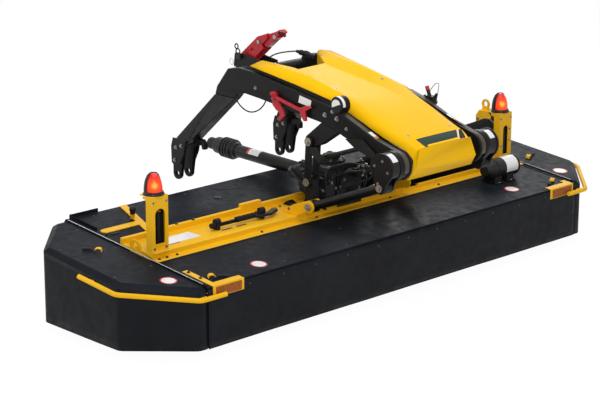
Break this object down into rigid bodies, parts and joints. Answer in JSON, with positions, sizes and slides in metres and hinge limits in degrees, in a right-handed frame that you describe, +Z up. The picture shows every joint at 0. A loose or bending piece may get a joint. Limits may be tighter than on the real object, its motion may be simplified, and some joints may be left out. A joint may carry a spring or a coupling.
{
  "type": "front disc mower conditioner",
  "caption": "Front-mounted disc mower conditioner with folding end covers, a pull-type headstock under a yellow hood, spinning discs, tine rotor and PTO input.",
  "frame": {"origin": "centre of the machine's box on the ground", "axes": "+X across the machine, -Y the way it mows, +Y back to the tractor, +Z up"},
  "size_m": [3.758, 1.9426, 1.388],
  "materials": {
    "cable_black": "matte",
    "cast": "rough",
    "curtain_black": "matte",
    "deck_black": "satin",
    "frame_black": "satin",
    "hood_yellow": "gloss",
    "lamp_black": "matte",
    "lens_amber": "gloss",
    "plastic_black": "matte",
    "red": "gloss",
    "reflector": "gloss",
    "steel": "brushed",
    "yellow": "gloss"
  },
  "bodies": {
    "mower": {"arm_left": "frame_black", "arm_right": "frame_black", "cable_connector": "plastic_black", "cable_loop": "cable_black", "cable_upper": "cable_black", "conditioner_hood": "frame_black", "corner_brackets": "yellow", "cover_latches": "yellow", "cross_tubes": "frame_black", "cutter_bar": "cast", "document_tube": "plastic_black", "drive_shaft_guard": "plastic_black", "end_drive_housing": "frame_black", "front_cover": "deck_black", "front_curtain": "curtain_black", "gear_stand": "frame_black", "gearbox": "cast", "hinge_rods": "steel", "hood": "hood_yellow", "lamp_bases": "lamp_black", "lamp_lenses": "lens_amber", "leg_left": "frame_black", "leg_right": "frame_black", "lift_levers": "frame_black", "lift_links": "frame_black", "lifting_eye": "yellow", "light_posts": "yellow", "link_brackets": "yellow", "lock_hook": "red", "main_beam": "yellow", "mast": "frame_black", "pivot_drums": "frame_black", "pto_guard": "plastic_black", "pull_links": "frame_black", "rear_braces": "yellow", "rear_cover": "deck_black", "rear_curtain": "curtain_black", "reflectors": "reflector", "side_frames": "frame_black", "skid_shoes": "steel", "stowed_stay": "frame_black", "top_link_hook": "red"},
    "end_left": {"end_cover_left": "deck_black", "end_curtain_left": "curtain_black", "guard_tube_left": "yellow", "end_latch_left": "yellow"},
    "end_right": {"end_cover_right": "deck_black", "end_curtain_right": "curtain_black", "guard_tube_right": "yellow", "end_latch_right": "yellow"},
    "conditioner": {"conditioner_rotor": "steel"},
    "pto_input": {"pto_yoke": "steel"},
    "cutting_disc_1": {"disc_1": "steel"},
    "cutting_disc_2": {"disc_2": "steel"},
    "cutting_disc_3": {"disc_3": "steel"},
    "cutting_disc_4": {"disc_4": "steel"},
    "cutting_disc_5": {"disc_5": "steel"},
    "cutting_disc_6": {"disc_6": "steel"},
    "cutting_disc_7": {"disc_7": "steel"},
    "cutting_disc_8": {"disc_8": "steel"}
  },
  "joints": [
    {"name": "disc_1_spin", "type": "hinge", "parent": "mower", "child": "cutting_disc_1", "pos_m": [-1.4, -0.345, 0.1], "axis": [0, 0, 1], "continuous": true},
    {"name": "disc_2_spin", "type": "hinge", "parent": "mower", "child": "cutting_disc_2", "pos_m": [-1, -0.345, 0.1], "axis": [0, 0, 1], "continuous": true},
    {"name": "disc_3_spin", "type": "hinge", "parent": "mower", "child": "cutting_disc_3", "pos_m": [-0.6, -0.345, 0.1], "axis": [0, 0, 1], "continuous": true},
    {"name": "disc_4_spin", "type": "hinge", "parent": "mower", "child": "cutting_disc_4", "pos_m": [-0.2, -0.345, 0.1], "axis": [0, 0, 1], "continuous": true},
    {"name": "disc_5_spin", "type": "hinge", "parent": "mower", "child": "cutting_disc_5", "pos_m": [0.2, -0.345, 0.1], "axis": [0, 0, 1], "continuous": true},
    {"name": "disc_6_spin", "type": "hinge", "parent": "mower", "child": "cutting_disc_6", "pos_m": [0.6, -0.345, 0.1], "axis": [0, 0, 1], "continuous": true},
    {"name": "disc_7_spin", "type": "hinge", "parent": "mower", "child": "cutting_disc_7", "pos_m": [1, -0.345, 0.1], "axis": [0, 0, 1], "continuous": true},
    {"name": "disc_8_spin", "type": "hinge", "parent": "mower", "child": "cutting_disc_8", "pos_m": [1.4, -0.345, 0.1], "axis": [0, 0, 1], "continuous": true},
    {"name": "conditioner_spin", "type": "hinge", "parent": "mower", "child": "conditioner", "pos_m": [0, 0.205, 0.25], "axis": [1, 0, 0], "continuous": true},
    {"name": "pto_spin", "type": "hinge", "parent": "mower", "child": "pto_input", "pos_m": [0, 0.905, 0.592], "axis": [0, 0.9998, 0.02], "continuous": true},
    {"name": "end_cover_left_fold", "type": "hinge", "parent": "mower", "child": "end_left", "pos_m": [-1.49, -0.09549, 0.45028], "axis": [0, 0.9957, 0.0924], "range_deg": [0, 90]},
    {"name": "end_cover_right_fold", "type": "hinge", "parent": "mower", "child": "end_right", "pos_m": [1.49, -0.09549, 0.45028], "axis": [0, -0.9957, -0.0924], "range_deg": [0, 90]}
  ],
  "couplings": [
    {"joint": "disc_2_spin", "follows": "disc_1_spin", "ratio": -1},
    {"joint": "disc_3_spin", "follows": "disc_1_spin", "ratio": 1},
    {"joint": "disc_4_spin", "follows": "disc_1_spin", "ratio": -1},
    {"joint": "disc_5_spin", "follows": "disc_1_spin", "ratio": 1},
    {"joint": "disc_6_spin", "follows": "disc_1_spin", "ratio": -1},
    {"joint": "disc_7_spin", "follows": "disc_1_spin", "ratio": 1},
    {"joint": "disc_8_spin", "follows": "disc_1_spin", "ratio": -1}
  ]
}
